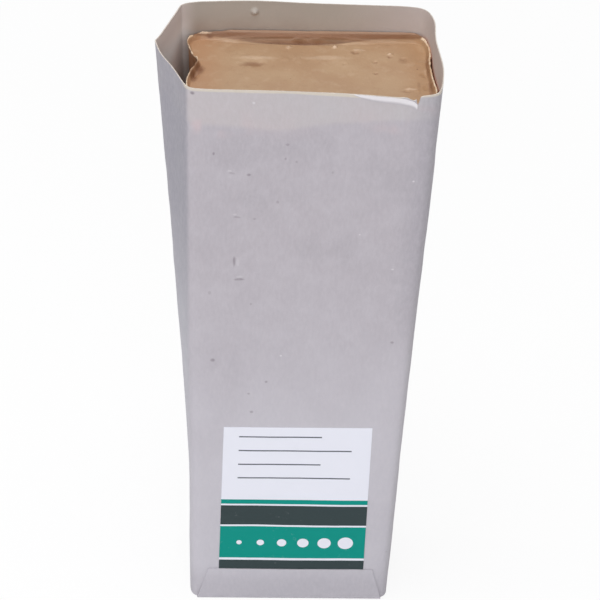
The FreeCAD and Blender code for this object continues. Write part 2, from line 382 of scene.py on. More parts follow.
def crease_left_gusset():
    """Keeps the sprung crease of the left side panel sharp, and the corner behind it."""
    choose("EDGE", lambda e: middle(e).x < -FOOT_WIDTH / 2 and -0.5 * MM < middle(e).y
           and middle(e).y < CREASE_BACK and run(e).z > run(e).y)
    bpy.ops.transform.edge_crease(value=0.6)
    choose("EDGE", lambda e: middle(e).x < -33 * MM and 20.5 * MM < middle(e).y and middle(e).y < 22.2 * MM
           and run(e).z > run(e).y)
    bpy.ops.transform.edge_crease(value=0.4)


def finish_sleeve(tube, finishes):
    """Refines the tube, dents it, closes its foot and gives it the paper's thickness."""
    for finish in finishes:
        tube.data.materials.append(finish)
    smooth(tube, 3)
    clear_of_foot = weigh(tube, "clear_of_foot", lambda co: ramp(co.z, 2 * MM, 12 * MM))
    crumple(tube, 34 * MM, 0.7 * MM, clear_of_foot)
    crumple(tube, 9 * MM, 0.16 * MM, clear_of_foot)
    edit(tube)
    dent_sleeve()
    choose("EDGE", lambda e: e.is_boundary and middle(e).z < 2 * PAPER)
    bpy.ops.mesh.edge_face_add()
    bpy.ops.mesh.select_all(action="SELECT")
    bpy.ops.mesh.normals_make_consistent(inside=False)
    done()
    finish_with(tube, "SOLIDIFY", thickness=PAPER, offset=-1.0, use_even_offset=True,
                material_offset=1, material_offset_rim=2)
    return tube


def dent_sleeve():
    """Pokes the dimple, presses the right side in, sags the rim beside the tear and nicks the front."""
    choose("FACE", lambda f: f.calc_center_median().y > DIMPLE[1] - MM
           and (f.calc_center_median() - Vector(DIMPLE)).length < 3.5 * MM)
    bpy.ops.mesh.subdivide(number_cuts=2)
    pull(DIMPLE, (0.0, -DIMPLE_DEPTH, 0.0), 1.3 * MM)
    pull(PINCH, (-PINCH_DEPTH, 0.0, 0.0), 7 * MM)
    beside_tear = (TEAR_X - TEAR_WIDTH / 2, -RIM_DEPTH / 2, SLEEVE_HEIGHT)
    pull(beside_tear, (0.0, 0.0, -1.1 * MM), 2.4 * MM)
    for x, z, depth, spread in PAPER_NICKS:
        y = -between(FOOT_DEPTH, RIM_DEPTH, z * MM) / 2
        pull((x * MM, y, z * MM), (0.0, depth * MM, 0.0), spread * MM)


# Bar

def read_off(points, y):
    """The reach at y, on straight lines between the listed points."""
    for (y_high, reach_high), (y_low, reach_low) in zip(points, points[1:]):
        if y >= y_low * MM:
            share = ramp(y, y_low * MM, y_high * MM)
            return (reach_low + (reach_high - reach_low) * share) * MM
    return points[-1][1] * MM


def build_bar():
    """The cast bar: a grid trimmed to the top's outline, its edge drawn down and its middle sunk."""
    rows, columns = 28, 44
    deselect()
    bpy.ops.mesh.primitive_grid_add(x_subdivisions=columns, y_subdivisions=rows, size=1.0,
                                    location=(0.0, 0.0, BAR_LIP))
    bar = bpy.context.object
    bar.scale = (RIM_WIDTH, BAR_DEPTH_AT_LIP, 1.0)
    keep_place(bar, "bar")
    edit(bar)
    trim_ends(rows)
    draw_walls()
    sink_top()
    done()
    smooth(bar, 2)
    top = weigh(bar, "top", lambda co: ramp(co.z, BAR_SURFACE - 4 * MM, BAR_SURFACE - MM))
    crumple(bar, 14 * MM, 0.5 * MM, top)
    lip = weigh(bar, "lip", lambda co: ramp(co.z, BAR_SURFACE + 0.6 * MM, BAR_LIP)
                * ramp(abs(co.x), 28 * MM, 33 * MM))
    crumple(bar, 1.4 * MM, 0.6 * MM, lip)
    mark_top(bar)
    return bar


def trim_ends(rows):
    """Draws each row of the top in or out to the outline of its ends."""
    for row in range(rows + 1):
        y = BAR_DEPTH_AT_LIP * (row / rows - 0.5)
        for side, points in ((-1, LEFT_END), (1, RIGHT_END)):
            choose("VERT", lambda v: abs(v.co.y - y) < 0.1 * MM and v.co.x * side > 0.1 * MM)
            bpy.ops.transform.resize(value=(read_off(points, y) / (RIM_WIDTH / 2), 1.0, 1.0),
                                     center_override=(0.0, y, BAR_LIP))


def draw_walls():
    """Extrudes the outline down in steps, with the mould's draft, and closes the foot."""
    choose("EDGE", lambda e: e.is_boundary)
    high = BAR_LIP
    below_lip = [BAR_LIP - drop * MM for drop in (0.4, 2.2, 30, 100)]
    for low in below_lip + [BAR_FOOT + MM, BAR_FOOT]:
        bpy.ops.mesh.extrude_edges_move(TRANSFORM_OT_translate={"value": (0.0, 0.0, low - high)})
        tucks = [2 * (PAPER + WALL_TUCK * ramp(BAR_LIP - z, 0.5 * MM, 2 * MM)) for z in (low, high)]
        width = [between(FOOT_WIDTH, RIM_WIDTH, z) - tuck for z, tuck in zip((low, high), tucks)]
        depth = [between(FOOT_DEPTH, RIM_DEPTH, z) - tuck for z, tuck in zip((low, high), tucks)]
        bpy.ops.transform.resize(value=(width[0] / width[1], depth[0] / depth[1], 1.0),
                                 center_override=(0.0, 0.0, low))
        high = low
    bpy.ops.mesh.edge_face_add()
    bpy.ops.mesh.select_all(action="SELECT")
    bpy.ops.mesh.normals_make_consistent(inside=False)


def sink_top():
    """Leaves the lip standing round the top, highest along the back, and shapes the dip in front of it."""
    choose("FACE", lambda f: f.normal.z > 0.9 and f.calc_center_median().z > BAR_LIP - 0.1 * MM)
    bpy.ops.mesh.inset(thickness=LIP_WIDTH, depth=0.0)
    bpy.ops.mesh.inset(thickness=LIP_SLOPE, depth=0.0)
    move((0.0, 0.0, BAR_SURFACE - BAR_LIP))
    for back, left, rise in BACK_LIP_STEPS:
        choose("VERT", lambda v: v.co.z > BAR_LIP - 0.5 * MM and v.co.y > back * MM and v.co.x > left * MM)
        move((0.0, 0.0, rise * MM))
    choose("EDGE", lambda e: run(e).y > 0.3 * MM and run(e).z < MM and middle(e).z > BAR_SURFACE - MM
           and 15 * MM < middle(e).y and middle(e).y < 21 * MM and abs(middle(e).x) < 30 * MM)
    bpy.ops.mesh.subdivide(number_cuts=2)
    for y, left, right, height in DIP_ROWS:
        shape_row(y * MM, left * MM, right * MM, height * MM)


def shape_row(y, left, right, height):
    """Raises or sinks one row of the top, most in the middle between its ends."""
    mesh = bmesh.from_edit_mesh(bpy.context.object.data)
    places = sorted({round(v.co.x, 5) for v in mesh.verts if abs(v.co.y - y) < 0.2 * MM
                     and v.co.z > BAR_SURFACE - 2 * MM and left < v.co.x < right})
    for x in places:
        choose("VERT", lambda v: abs(v.co.y - y) < 0.2 * MM and abs(v.co.x - x) < 0.1 * MM
               and BAR_SURFACE - 2 * MM < v.co.z and v.co.z < BAR_LIP - 0.1 * MM)
        move((0.0, 0.0, height * math.sin(math.pi * ramp(x, left, right)) ** 0.6))


def mark_top(bar):
    """Dents, pits and bumps the top, and leaves crumbs on its lip."""
    edit(bar)
    for x, y, height, spread in TOP_DENTS + TOP_PITS + TOP_BUMPS:
        pull((x * MM, y * MM, BAR_SURFACE), (0.0, 0.0, height * MM), spread * MM)
    for x, y, height in LIP_CRUMBS:
        pull((x * MM, y * MM, BAR_LIP), (0.0, 0.0, height * MM), CRUMB_SPREAD)
    done()


# Sheets that lie on the sleeve

def lay_on(piece, sleeve, group=""):
    """Presses a flat sheet straight back or forth on to the sleeve's nearest face."""
    finish_with(piece, "SHRINKWRAP", target=sleeve, wrap_method="PROJECT", use_project_y=True,
                use_negative_direction=True, use_positive_direction=True, project_limit=6 * MM,
                wrap_mode="ON_SURFACE", vertex_group=group)


def add_panel(name, width, low, high, columns, rows, side, shift=0.0):
    """A flat grid just off the front panel (side -1) or the back panel (side 1), between two heights."""
    deselect()
    tilt = PANEL_TILT if side < 0 else math.pi - PANEL_TILT
    up = (low + high) / 2
    place = (shift, side * (FOOT_DEPTH / 2 + math.sin(PANEL_TILT) * up + MM), math.cos(PANEL_TILT) * up)
    bpy.ops.mesh.primitive_grid_add(x_subdivisions=columns, y_subdivisions=rows, size=1.0,
                                    location=place, rotation=(math.pi / 2 + tilt, 0.0, 0.0))
    panel = bpy.context.object
    panel.scale = (width, high - low, 1.0)
    return keep_place(panel, name)


def thicken(sheet, thickness):
    finish_with(sheet, "SOLIDIFY", thickness=thickness, offset=1.0, material_offset_rim=0)


def build_label(sleeve):
    """The printed label, glued low on the front panel."""
    low = LABEL_UP - LABEL_HEIGHT / 2
    label = add_panel("label_sheet", LABEL_WIDTH, low, low + LABEL_HEIGHT, 44, 54, -1, LABEL_SHIFT)
    lay_on(label, sleeve)
    thicken(label, LABEL_THICK)
    return label


def build_flap(sleeve):
    """The closing band: under the foot and up the front, narrower towards its edge."""
    deselect()
    bpy.ops.mesh.primitive_plane_add(size=1.0, location=(0.0, 0.0, PAPER))
    flap = bpy.context.object
    flap.scale = (FLAP_FOOT_WIDTH, FOOT_DEPTH, 1.0)
    keep_place(flap, "flap")
    edit(flap)
    choose("VERT", lambda v: v.co.y > 0.0)
    bpy.ops.mesh.bevel(offset=FLAP_CORNER, segments=4, affect="VERTICES")
    front = -FOOT_DEPTH / 2
    choose("EDGE", lambda e: middle(e).y < front + MM)
    bpy.ops.mesh.extrude_edges_move(TRANSFORM_OT_translate={
        "value": (0.0, -math.tan(PANEL_TILT) * FLAP_HEIGHT, FLAP_HEIGHT)})
    bpy.ops.transform.resize(value=(FLAP_TIP_WIDTH / FLAP_FOOT_WIDTH, 1.0, 1.0))
    choose("EDGE", lambda e: middle(e).z < MM and middle(e).y < front + MM and run(e).x > MM)
    bpy.ops.mesh.bevel(offset=0.35 * MM, segments=2, affect="EDGES")
    choose("EDGE", lambda e: run(e).x > MM)
    bpy.ops.mesh.subdivide(number_cuts=39)
    choose("EDGE", lambda e: run(e).z > 5 * MM)
    bpy.ops.mesh.subdivide(number_cuts=11)
    choose("FACE", lambda f: f.normal.z > 0.5)
    upside_down = any(face.select for face in bmesh.from_edit_mesh(flap.data).faces)
    bpy.ops.mesh.select_all(action="SELECT")
    if upside_down:
        bpy.ops.mesh.flip_normals()
    done()
    front_part = weigh(flap, "front_part", lambda co: ramp(co.z, 2 * MM, 6 * MM))
    lay_on(flap, sleeve, front_part)
    thicken(flap, PAPER)
    return flap


def build_seam(sleeve):
    """The outer ply of the tube's lap seam, down the middle of the back."""
    seam = add_panel("seam", SEAM_WIDTH, PAPER + 0.3 * MM, SLEEVE_HEIGHT + 0.3 * MM, 6, 120, 1)
    lay_on(seam, sleeve)
    thicken(seam, PAPER)
    return seam


def tear_rim(sleeve):
    """Cuts the short V into the front edge."""
    low = (TEAR_X - TEAR_WIDTH / 2, -RIM_DEPTH, SLEEVE_HEIGHT - TEAR_DEPTH)
    high = (TEAR_X + TEAR_WIDTH / 2, -RIM_DEPTH / 4, SLEEVE_HEIGHT + MM)
    wedge = add_box("wedge", low, high)
    edit(wedge)
    choose("VERT", lambda v: v.co.z < SLEEVE_HEIGHT - MM)
    bpy.ops.transform.resize(value=(0.05, 1.0, 1.0))
    done()
    finish_with(sleeve, "BOOLEAN", object=wedge, operation="DIFFERENCE", solver="EXACT")
    bpy.data.objects.remove(wedge)


def bare_ply(sleeve):
    """The strip beside the tear where the paper's upper ply has come off."""
    left, right = BARE_EDGE[-1][0] * MM, BARE_EDGE[0][0] * MM
    low, high = SLEEVE_HEIGHT - 4 * MM, SLEEVE_HEIGHT - 2 * MM
    level = (high + low) / 2 * math.cos(PANEL_TILT)
    columns = 40
    strip = add_panel("bare_ply", right - left, low, high, columns, 4, -1, (left + right) / 2)
    edit(strip)
    for column in range(columns + 1):
        x = left + (right - left) * column / columns
        bottom, top = read_off(BARE_EDGE, x), read_off(BARE_TOP, x)
        choose("VERT", lambda v: abs(v.co.x - x) < 0.05 * MM)
        bpy.ops.transform.resize(value=(1.0, 1.0, (top - bottom) / (high - low)),
                                 center_override=(0.0, 0.0, level))
        move((0.0, 0.0, (top + bottom) / 2 - level))
    done()
    lay_on(strip, sleeve)
    crumple(strip, 1.5 * MM, 0.15 * MM)
    thicken(strip, 0.12 * MM)
    return strip


# Finishes

def tone(red, green, blue):
    """A colour as written in sRGB, 0 to 255, made linear."""
    linear = [((v / 255 + 0.055) / 1.055) ** 2.4 if v > 10 else v / 255 / 12.92 for v in (red, green, blue)]
    return (*linear, 1.0)


class Finish:
    """A material being wired. Each method adds a node and gives back its output."""

    def __init__(self, name):
        self.material = bpy.data.materials.new(name)
        self.material.use_nodes = True
        self.tree = self.material.node_tree
        self.shader = self.tree.nodes["Principled BSDF"]
        self.place = self.add("ShaderNodeTexCoord").outputs["Object"]
        axes = self.add("ShaderNodeSeparateXYZ", {"Vector": self.place})
        self.x, self.y, self.z = axes.outputs

    def add(self, kind, inputs=None, **settings):
        node = self.tree.nodes.new(kind)
        for name, value in settings.items():
            setattr(node, name, value)
        for name, value in (inputs or {}).items():
            self.plug(node.inputs[name], value)
        return node

    def plug(self, socket, value):
        if isinstance(value, bpy.types.NodeSocket):
            self.tree.links.new(value, socket)
        else:
            socket.default_value = value

    def maths(self, operation, a, b=0.0, clamp=False):
        return self.add("ShaderNodeMath", {0: a, 1: b}, operation=operation, use_clamp=clamp).outputs[0]

    def vectors(self, operation, a, b):
        return self.add("ShaderNodeVectorMath", {0: a, 1: b}, operation=operation).outputs[0]

    def spread(self, value, low, high, to_low=0.0, to_high=1.0):
        """Maps low..high on to 0..1, or on to the two given values."""
        ends = {"Value": value, "From Min": low, "From Max": high, "To Min": to_low, "To Max": to_high}
        return self.add("ShaderNodeMapRange", ends, interpolation_type="SMOOTHSTEP").outputs["Result"]

    def spread_straight(self, value, low, high, to_low, to_high):
        ends = {"Value": value, "From Min": low, "From Max": high, "To Min": to_low, "To Max": to_high}
        return self.add("ShaderNodeMapRange", ends).outputs["Result"]

    def noise(self, size, detail=3.0, rough=0.55, stretch=(1.0, 1.0, 1.0), warp=0.0):
        """Soft noise whose features are about the given size."""
        scaled = self.vectors("DIVIDE", self.place, stretch)
        wanted = {"Vector": scaled, "Scale": 1.0 / size, "Detail": detail, "Roughness": rough,
                  "Distortion": warp}
        return self.add("ShaderNodeTexNoise", wanted).outputs["Fac"]

    def apart(self, centre, size):
        """The distance from a centre, in shares of the size along each axis. Both are in millimetres."""
        away = self.vectors("SUBTRACT", self.place, Vector(centre) * MM)
        shares = self.vectors("DIVIDE", away, Vector(size) * MM)
        return self.add("ShaderNodeVectorMath", {0: shares}, operation="LENGTH").outputs["Value"]

    def specks(self, spacing, radius, share):
        """Round specks: a share of the cells of a grid that far apart have one."""
        cells = self.add("ShaderNodeTexVoronoi", {"Vector": self.place, "Scale": 1.0 / spacing})
        chosen = self.add("ShaderNodeSeparateColor", {"Color": cells.outputs["Color"]}).outputs[0]
        near = self.spread(cells.outputs["Distance"], radius / spacing, radius / spacing * 0.4)
        return self.maths("MULTIPLY", near, self.maths("LESS_THAN", chosen, share))

    def mix(self, factor, a, b):
        node = self.add("ShaderNodeMix", data_type="RGBA")
        self.plug(node.inputs[0], factor)
        self.plug(node.inputs[6], a)
        self.plug(node.inputs[7], b)
        return node.outputs[2]

    def curve(self, value, points):
        """A value read off a smooth curve through (place, height) points, both from 0 to 1."""
        node = self.add("ShaderNodeFloatCurve", {"Value": value})
        line = node.mapping.curves[0]
        line.points[0].location = points[0]
        line.points[1].location = points[-1]
        for point in points[1:-1]:
            line.points.new(*point)
        node.mapping.update()
        return node.outputs[0]

    def bump(self, height, distance, strength=1.0):
        node = self.add("ShaderNodeBump", {"Height": height, "Distance": distance, "Strength": strength})
        self.plug(self.shader.inputs["Normal"], node.outputs[0])

    def set(self, **values):
        for name, value in values.items():
            self.plug(self.shader.inputs[name.replace("_", " ")], value)


def soaked_paper():
    """The sleeve's outside: grey where wax has soaked in, lighter above the pour line, with painted shade on
    the left side panel and towards the right edge.
    """
    f = Finish("soaked_paper")
    wide = f.noise(30 * MM, 3.0, stretch=(1.0, 1.0, 1.6))
    patches = f.noise(7 * MM, 4.0, 0.6)
    fibres = f.noise(0.9 * MM, 4.0, 0.7, stretch=(1.0, 1.0, 2.5))
    upper = tone(177, 171, 178)
    lower = tone(191, 188, 196)
    drift = f.spread(f.maths("ADD", f.z, f.maths("MULTIPLY", wide, 60 * MM)), 170 * MM, 60 * MM)
    soaked = f.mix(drift, upper, lower)
    soaked = f.mix(f.spread(wide, 0.35, 0.7, 0.0, 0.3), soaked, tone(172, 167, 175))
    soaked = f.mix(f.spread(patches, 0.4, 0.75, 0.0, 0.25), soaked, tone(197, 193, 200))
    dry = f.mix(f.spread(wide, 0.35, 0.65), tone(185, 181, 184), tone(187, 179, 182))
    along = f.spread(f.x, -RIM_WIDTH / 2, RIM_WIDTH / 2)
    wave = f.curve(along, POUR_WAVE)
    line = f.maths("ADD", f.maths("MULTIPLY", wave, POUR_RISE), POUR_LOW)
    line = f.maths("ADD", line, f.maths("MULTIPLY", f.noise(3 * MM), 0.8 * MM))
    above = f.spread(f.maths("SUBTRACT", f.z, line), -1.1 * MM, 1.3 * MM)
    colour = f.mix(above, soaked, dry)
    off_line = f.maths("ABSOLUTE", f.maths("SUBTRACT", f.z, line))
    pink = f.spread(f.noise(11 * MM, 2.0), 0.5, 0.66)
    pink = f.maths("MULTIPLY", pink, f.spread(off_line, 6 * MM, 1 * MM))
    pink = f.maths("MULTIPLY", pink, f.spread(f.maths("ABSOLUTE", f.x), 14 * MM, 24 * MM, 0.1, 0.8))
    colour = f.mix(pink, colour, tone(196, 178, 182))
    half = f.spread_straight(f.z, 0.0, SLEEVE_HEIGHT, FOOT_WIDTH / 2, RIM_WIDTH / 2)
    # Painted shade, with a bluish tint, on the left side panel: darkest high up, lighter towards the foot.
    left_side_shading = f.spread(f.maths("ADD", f.x, half), 0.6 * MM, -0.8 * MM)
    left_tint_and_painted_shading = f.mix(f.spread(f.z, 150 * MM, 70 * MM), tone(140, 139, 150), tone(184, 184, 192))
    colour = f.mix(f.maths("MULTIPLY", left_side_shading, 0.75), colour, left_tint_and_painted_shading)
    past_right = f.maths("SUBTRACT", f.x, half)
    # Painted shade on the rounded right corner.
    right_corner_shade = f.spread(past_right, -2.6 * MM, -0.4 * MM)
    colour = f.mix(f.maths("MULTIPLY", right_corner_shade, 0.3), colour, tone(150, 148, 150))
    # Painted shade towards the right edge, higher up.
    right_edge_shade = f.spread(past_right, -11 * MM, -1 * MM)
    right_edge_shade = f.maths("MULTIPLY", right_edge_shade, f.spread(f.z, 80 * MM, 140 * MM))
    colour = f.mix(f.maths("MULTIPLY", right_edge_shade, 0.5), colour, tone(152, 148, 157))
    colour = f.mix(f.spread(f.z, 14 * MM, 5 * MM, 0.0, 0.6), colour, tone(172, 168, 176))
    sag = f.maths("MULTIPLY", f.curve(along, RIM_WAVE), RIM_SAG)
    edge = f.spread(f.maths("ADD", f.z, sag), SLEEVE_HEIGHT - 1.1 * MM, SLEEVE_HEIGHT - 0.5 * MM)
    edge = f.maths("MULTIPLY", edge, f.spread(f.y, -19 * MM, -21 * MM))
    colour = f.mix(f.maths("MULTIPLY", edge, 0.8), colour, tone(212, 202, 184))
    colour = f.mix(f.specks(9 * MM, 0.3 * MM, 0.22), colour, tone(150, 142, 150))
    front = -RIM_DEPTH / 2 / MM
    for x, z, wide_by, high_by in PAPER_CLOUDS:
        far = f.apart((x, front, z), (wide_by, 40, high_by))
        far = f.maths("ADD", far, f.maths("SUBTRACT", patches, 0.5))
        colour = f.mix(f.spread(far, 1.2, 0.2, 0.0, 0.22), colour, tone(158, 153, 160))
    for x, z, wide_by, high_by, strength in PAPER_MARKS:
        far = f.apart((x, front, z), (wide_by, 40, high_by))
        mark = tone(122, 112, 120) if strength > 0 else tone(222, 218, 222)
        colour = f.mix(f.spread(far, 1.2, 0.4, 0.0, abs(strength)), colour, mark)
    colour = f.mix(f.spread(fibres, 0.3, 0.8, 0.0, 0.25), colour, tone(205, 200, 206))
    f.set(Base_Color=colour, Roughness=f.spread(patches, 0.3, 0.7, 0.5, 0.62))
    f.shader.inputs["Specular IOR Level"].default_value = 0.35
    f.bump(f.maths("ADD", f.maths("MULTIPLY", fibres, 0.25), patches), 0.22 * MM)
    return f.material


def inner_paper():
    """The sleeve's inside above the bar: tinted by the wax and kept darker than the outside partly as painted
    shade, with painted light brightening it towards the left and right and on the soaked patch at its right
    end.
    """
    f = Finish("inner_paper")
    patches = f.noise(9 * MM, 4.0, 0.6)
    fibres = f.noise(0.9 * MM, 4.0, 0.7)
    # The inside's tones are kept dark partly as painted shade, and darker still towards the bar where the wax
    # tints it.
    near_bar = f.spread(f.maths("ADD", f.z, f.maths("MULTIPLY", patches, 5 * MM)), 186 * MM, 176 * MM)
    colour = f.mix(near_bar, tone(176, 168, 160), tone(166, 150, 140))
    colour = f.mix(f.spread(patches, 0.4, 0.75, 0.0, 0.4), colour, tone(182, 171, 163))
    # Painted light: the inside of the left wall is brightened, most near the bar.
    left = f.spread(f.x, -31 * MM, -38 * MM)
    left_tint_and_painted_shading = f.mix(f.spread(f.z, 182 * MM, 174 * MM), tone(216, 206, 204), tone(250, 244, 242))
    colour = f.mix(left, colour, left_tint_and_painted_shading)
    # Painted light: the inside is brightened towards the right.
    right = f.spread(f.x, 4 * MM, 32 * MM)
    colour = f.mix(right, colour, tone(194, 184, 181))
    # Wax-soaked paper at the right end near the bar, its tone raised as painted light against the shade of
    # the narrow gap.
    soaked = f.maths("MULTIPLY", f.spread(f.x, 30 * MM, 34 * MM), f.spread(f.z, 177.5 * MM, 175 * MM))
    colour = f.mix(soaked, colour, tone(214, 150, 122))
    f.set(Base_Color=colour, Roughness=0.6)
    f.shader.inputs["Specular IOR Level"].default_value = 0.3
    f.bump(f.maths("ADD", f.maths("MULTIPLY", fibres, 0.25), patches), 0.2 * MM)
    return f.material


def torn_paper():
    """The sleeve's cut and torn edges."""
    f = Finish("torn_paper")
    fibres = f.noise(0.7 * MM, 5.0, 0.7, stretch=(3.0, 1.0, 1.0))
    colour = f.mix(f.spread(fibres, 0.3, 0.7), tone(196, 186, 176), tone(224, 216, 208))
    f.set(Base_Color=colour, Roughness=0.9)
    f.shader.inputs["Specular IOR Level"].default_value = 0.2
    f.bump(fibres, 0.2 * MM)
    return f.material


def bared_paper():
    """The inner ply beside the tear: white, greyed towards its lower edge by painted shade."""
    f = Finish("bared_paper")
    up = f.add("ShaderNodeSeparateXYZ", {"Vector": f.add("ShaderNodeTexCoord").outputs["UV"]}).outputs[1]
    fibres = f.noise(0.8 * MM, 5.0, 0.7, stretch=(3.0, 1.0, 1.0))
    frayed = f.maths("MULTIPLY", f.maths("SUBTRACT", fibres, 0.5), 0.3)
    # Painted shade greys the strip towards its lower edge.
    out_of_painted_shade = f.spread(f.maths("ADD", up, frayed), 0.0, 0.55)
    f.set(Base_Color=f.mix(out_of_painted_shade, tone(184, 179, 184), tone(226, 222, 226)), Roughness=0.9)
    f.shader.inputs["Specular IOR Level"].default_value = 0.2
    f.bump(fibres, 0.15 * MM)
    return f.material


def wax():
    """The cast compound: tan, paler at its thin lip, darker and redder in its hollows as painted shade,
    redder down its sides, with painted shade in the dip along the back and painted highlights on its bumps
    and streaks.
    """
    f = Finish("wax")
    cloud = f.noise(12 * MM, 4.0, 0.55, warp=0.4)
    blotch = f.noise(3.2 * MM, 4.0, 0.6)
    grain = f.noise(0.5 * MM, 3.0, 0.6)
    colour = f.mix(f.spread(cloud, 0.35, 0.68), tone(174, 140, 109), tone(181, 150, 119))
    colour = f.mix(f.spread(f.x, -20 * MM, -32 * MM, 0.0, 0.75), colour, tone(178, 134, 100))
    colour = f.mix(f.spread(f.x, 24 * MM, 32 * MM, 0.0, 0.6), colour, tone(172, 134, 98))
    colour = f.mix(f.spread(blotch, 0.5, 0.75, 0.0, 0.35), colour, tone(196, 168, 140))
    colour = f.mix(f.spread(blotch, 0.42, 0.25, 0.0, 0.35), colour, tone(160, 124, 95))
    # Painted shade where the top sinks below its surface.
    hollow_shade = f.spread(f.z, BAR_SURFACE - 0.35 * MM, BAR_SURFACE - 1.3 * MM)
    colour = f.mix(f.maths("MULTIPLY", hollow_shade, 0.9), colour, tone(122, 84, 60))
    # Painted shade in the shrinkage dip along the back, behind its wavy front edge.
    shore = f.curve(f.spread_straight(f.x, DIP_FROM, DIP_TO, 0.0, 1.0), DIP_SHADE_EDGE)
    past = f.maths("SUBTRACT", f.y, f.maths("ADD", f.maths("MULTIPLY", shore, DIP_DEEP), DIP_NEAR))
    past = f.maths("ADD", past, f.maths("MULTIPLY", f.maths("SUBTRACT", f.z, BAR_SURFACE), 1.4))
    streaks = f.noise(1.6 * MM, 3.0, 0.6, stretch=(6.0, 0.7, 1.0))
    past = f.maths("ADD", past, f.maths("MULTIPLY", f.maths("SUBTRACT", streaks, 0.5), 0.8 * MM))
    dip = f.mix(f.spread(streaks, 0.35, 0.65), tone(124, 91, 64), tone(146, 108, 80))
    colour = f.mix(f.spread(past, -0.6 * MM, 0.9 * MM, 0.0, 0.9), colour, dip)
    # Painted shade along the dip's front edge, across the middle.
    brink_shade = f.spread(f.maths("ABSOLUTE", f.maths("SUBTRACT", past, 0.4 * MM)), 0.6 * MM, 0.1 * MM)
    brink_shade = f.maths("MULTIPLY", brink_shade, f.spread(f.maths("ABSOLUTE", f.x), 18 * MM, 12 * MM, 0.0, 0.7))
    colour = f.mix(brink_shade, colour, tone(118, 84, 60))
    # Painted shade on the slope below the back lip.
    at_back = f.spread(f.y, 20.4 * MM, 20.9 * MM)
    shelf = f.spread(f.z, BAR_SURFACE + 0.8 * MM, BAR_SURFACE + 1.5 * MM)
    centre = f.spread(f.maths("ABSOLUTE", f.x), 33 * MM, 24 * MM)
    back_slope_shade = f.maths("MULTIPLY", f.maths("MULTIPLY", at_back, shelf), centre)
    colour = f.mix(back_slope_shade, colour, tone(138, 98, 70))
    lip = f.spread(f.z, BAR_LIP - 0.5 * MM, BAR_LIP - 0.05 * MM)
    back_lip = f.spread(f.z, BAR_LIP + 0.3 * MM, BAR_LIP + 0.8 * MM)
    pale = f.mix(f.spread(blotch, 0.35, 0.7), tone(216, 184, 150), tone(246, 226, 200))
    colour = f.mix(f.mix(at_back, lip, back_lip), colour, f.mix(at_back, pale, tone(160, 126, 102)))
    side = f.spread(f.z, BAR_LIP - 0.8 * MM, BAR_LIP - 2.5 * MM)
    normal = f.add("ShaderNodeSeparateXYZ", {"Vector": f.add("ShaderNodeNewGeometry").outputs["Normal"]})
    steep = f.spread(f.maths("ABSOLUTE", normal.outputs[2]), 0.5, 0.2)
    colour = f.mix(f.maths("MULTIPLY", side, steep), colour, tone(168, 120, 84))
    # Painted shade in the dents, pits, wrinkles and dip, painted highlights on bumps, streaks and wrinkles,
    # and the flake and nick on the back lip.
    height = BAR_SURFACE / MM
    shade_highlight_and_stain_spots = [((x, y, height), (along, deep, 4.0), strength) for x, y, along, deep, strength in WAX_SHADES_HIGHLIGHTS_AND_STAINS]
    uneven = f.maths("MULTIPLY", f.maths("SUBTRACT", blotch, 0.5), 0.9)
    for centre_at, size, strength in shade_highlight_and_stain_spots + FLAKE_MARKS:
        far = f.maths("ADD", f.apart(centre_at, size), uneven)
        stain_shade_and_highlight_tone = tone(124, 82, 54) if strength > 0 else tone(218, 192, 166)
        colour = f.mix(f.spread(far, 1.0, 0.3, 0.0, abs(strength)), colour, stain_shade_and_highlight_tone)
    colour = f.mix(f.specks(6 * MM, 0.35 * MM, 0.25), colour, tone(120, 84, 62))
    f.set(Base_Color=colour, Roughness=f.spread(cloud, 0.3, 0.7, 0.38, 0.5))
    f.shader.inputs["Specular IOR Level"].default_value = 0.4
    f.bump(f.maths("ADD", f.maths("MULTIPLY", grain, 0.12), blotch), 0.18 * MM)
    return f.material


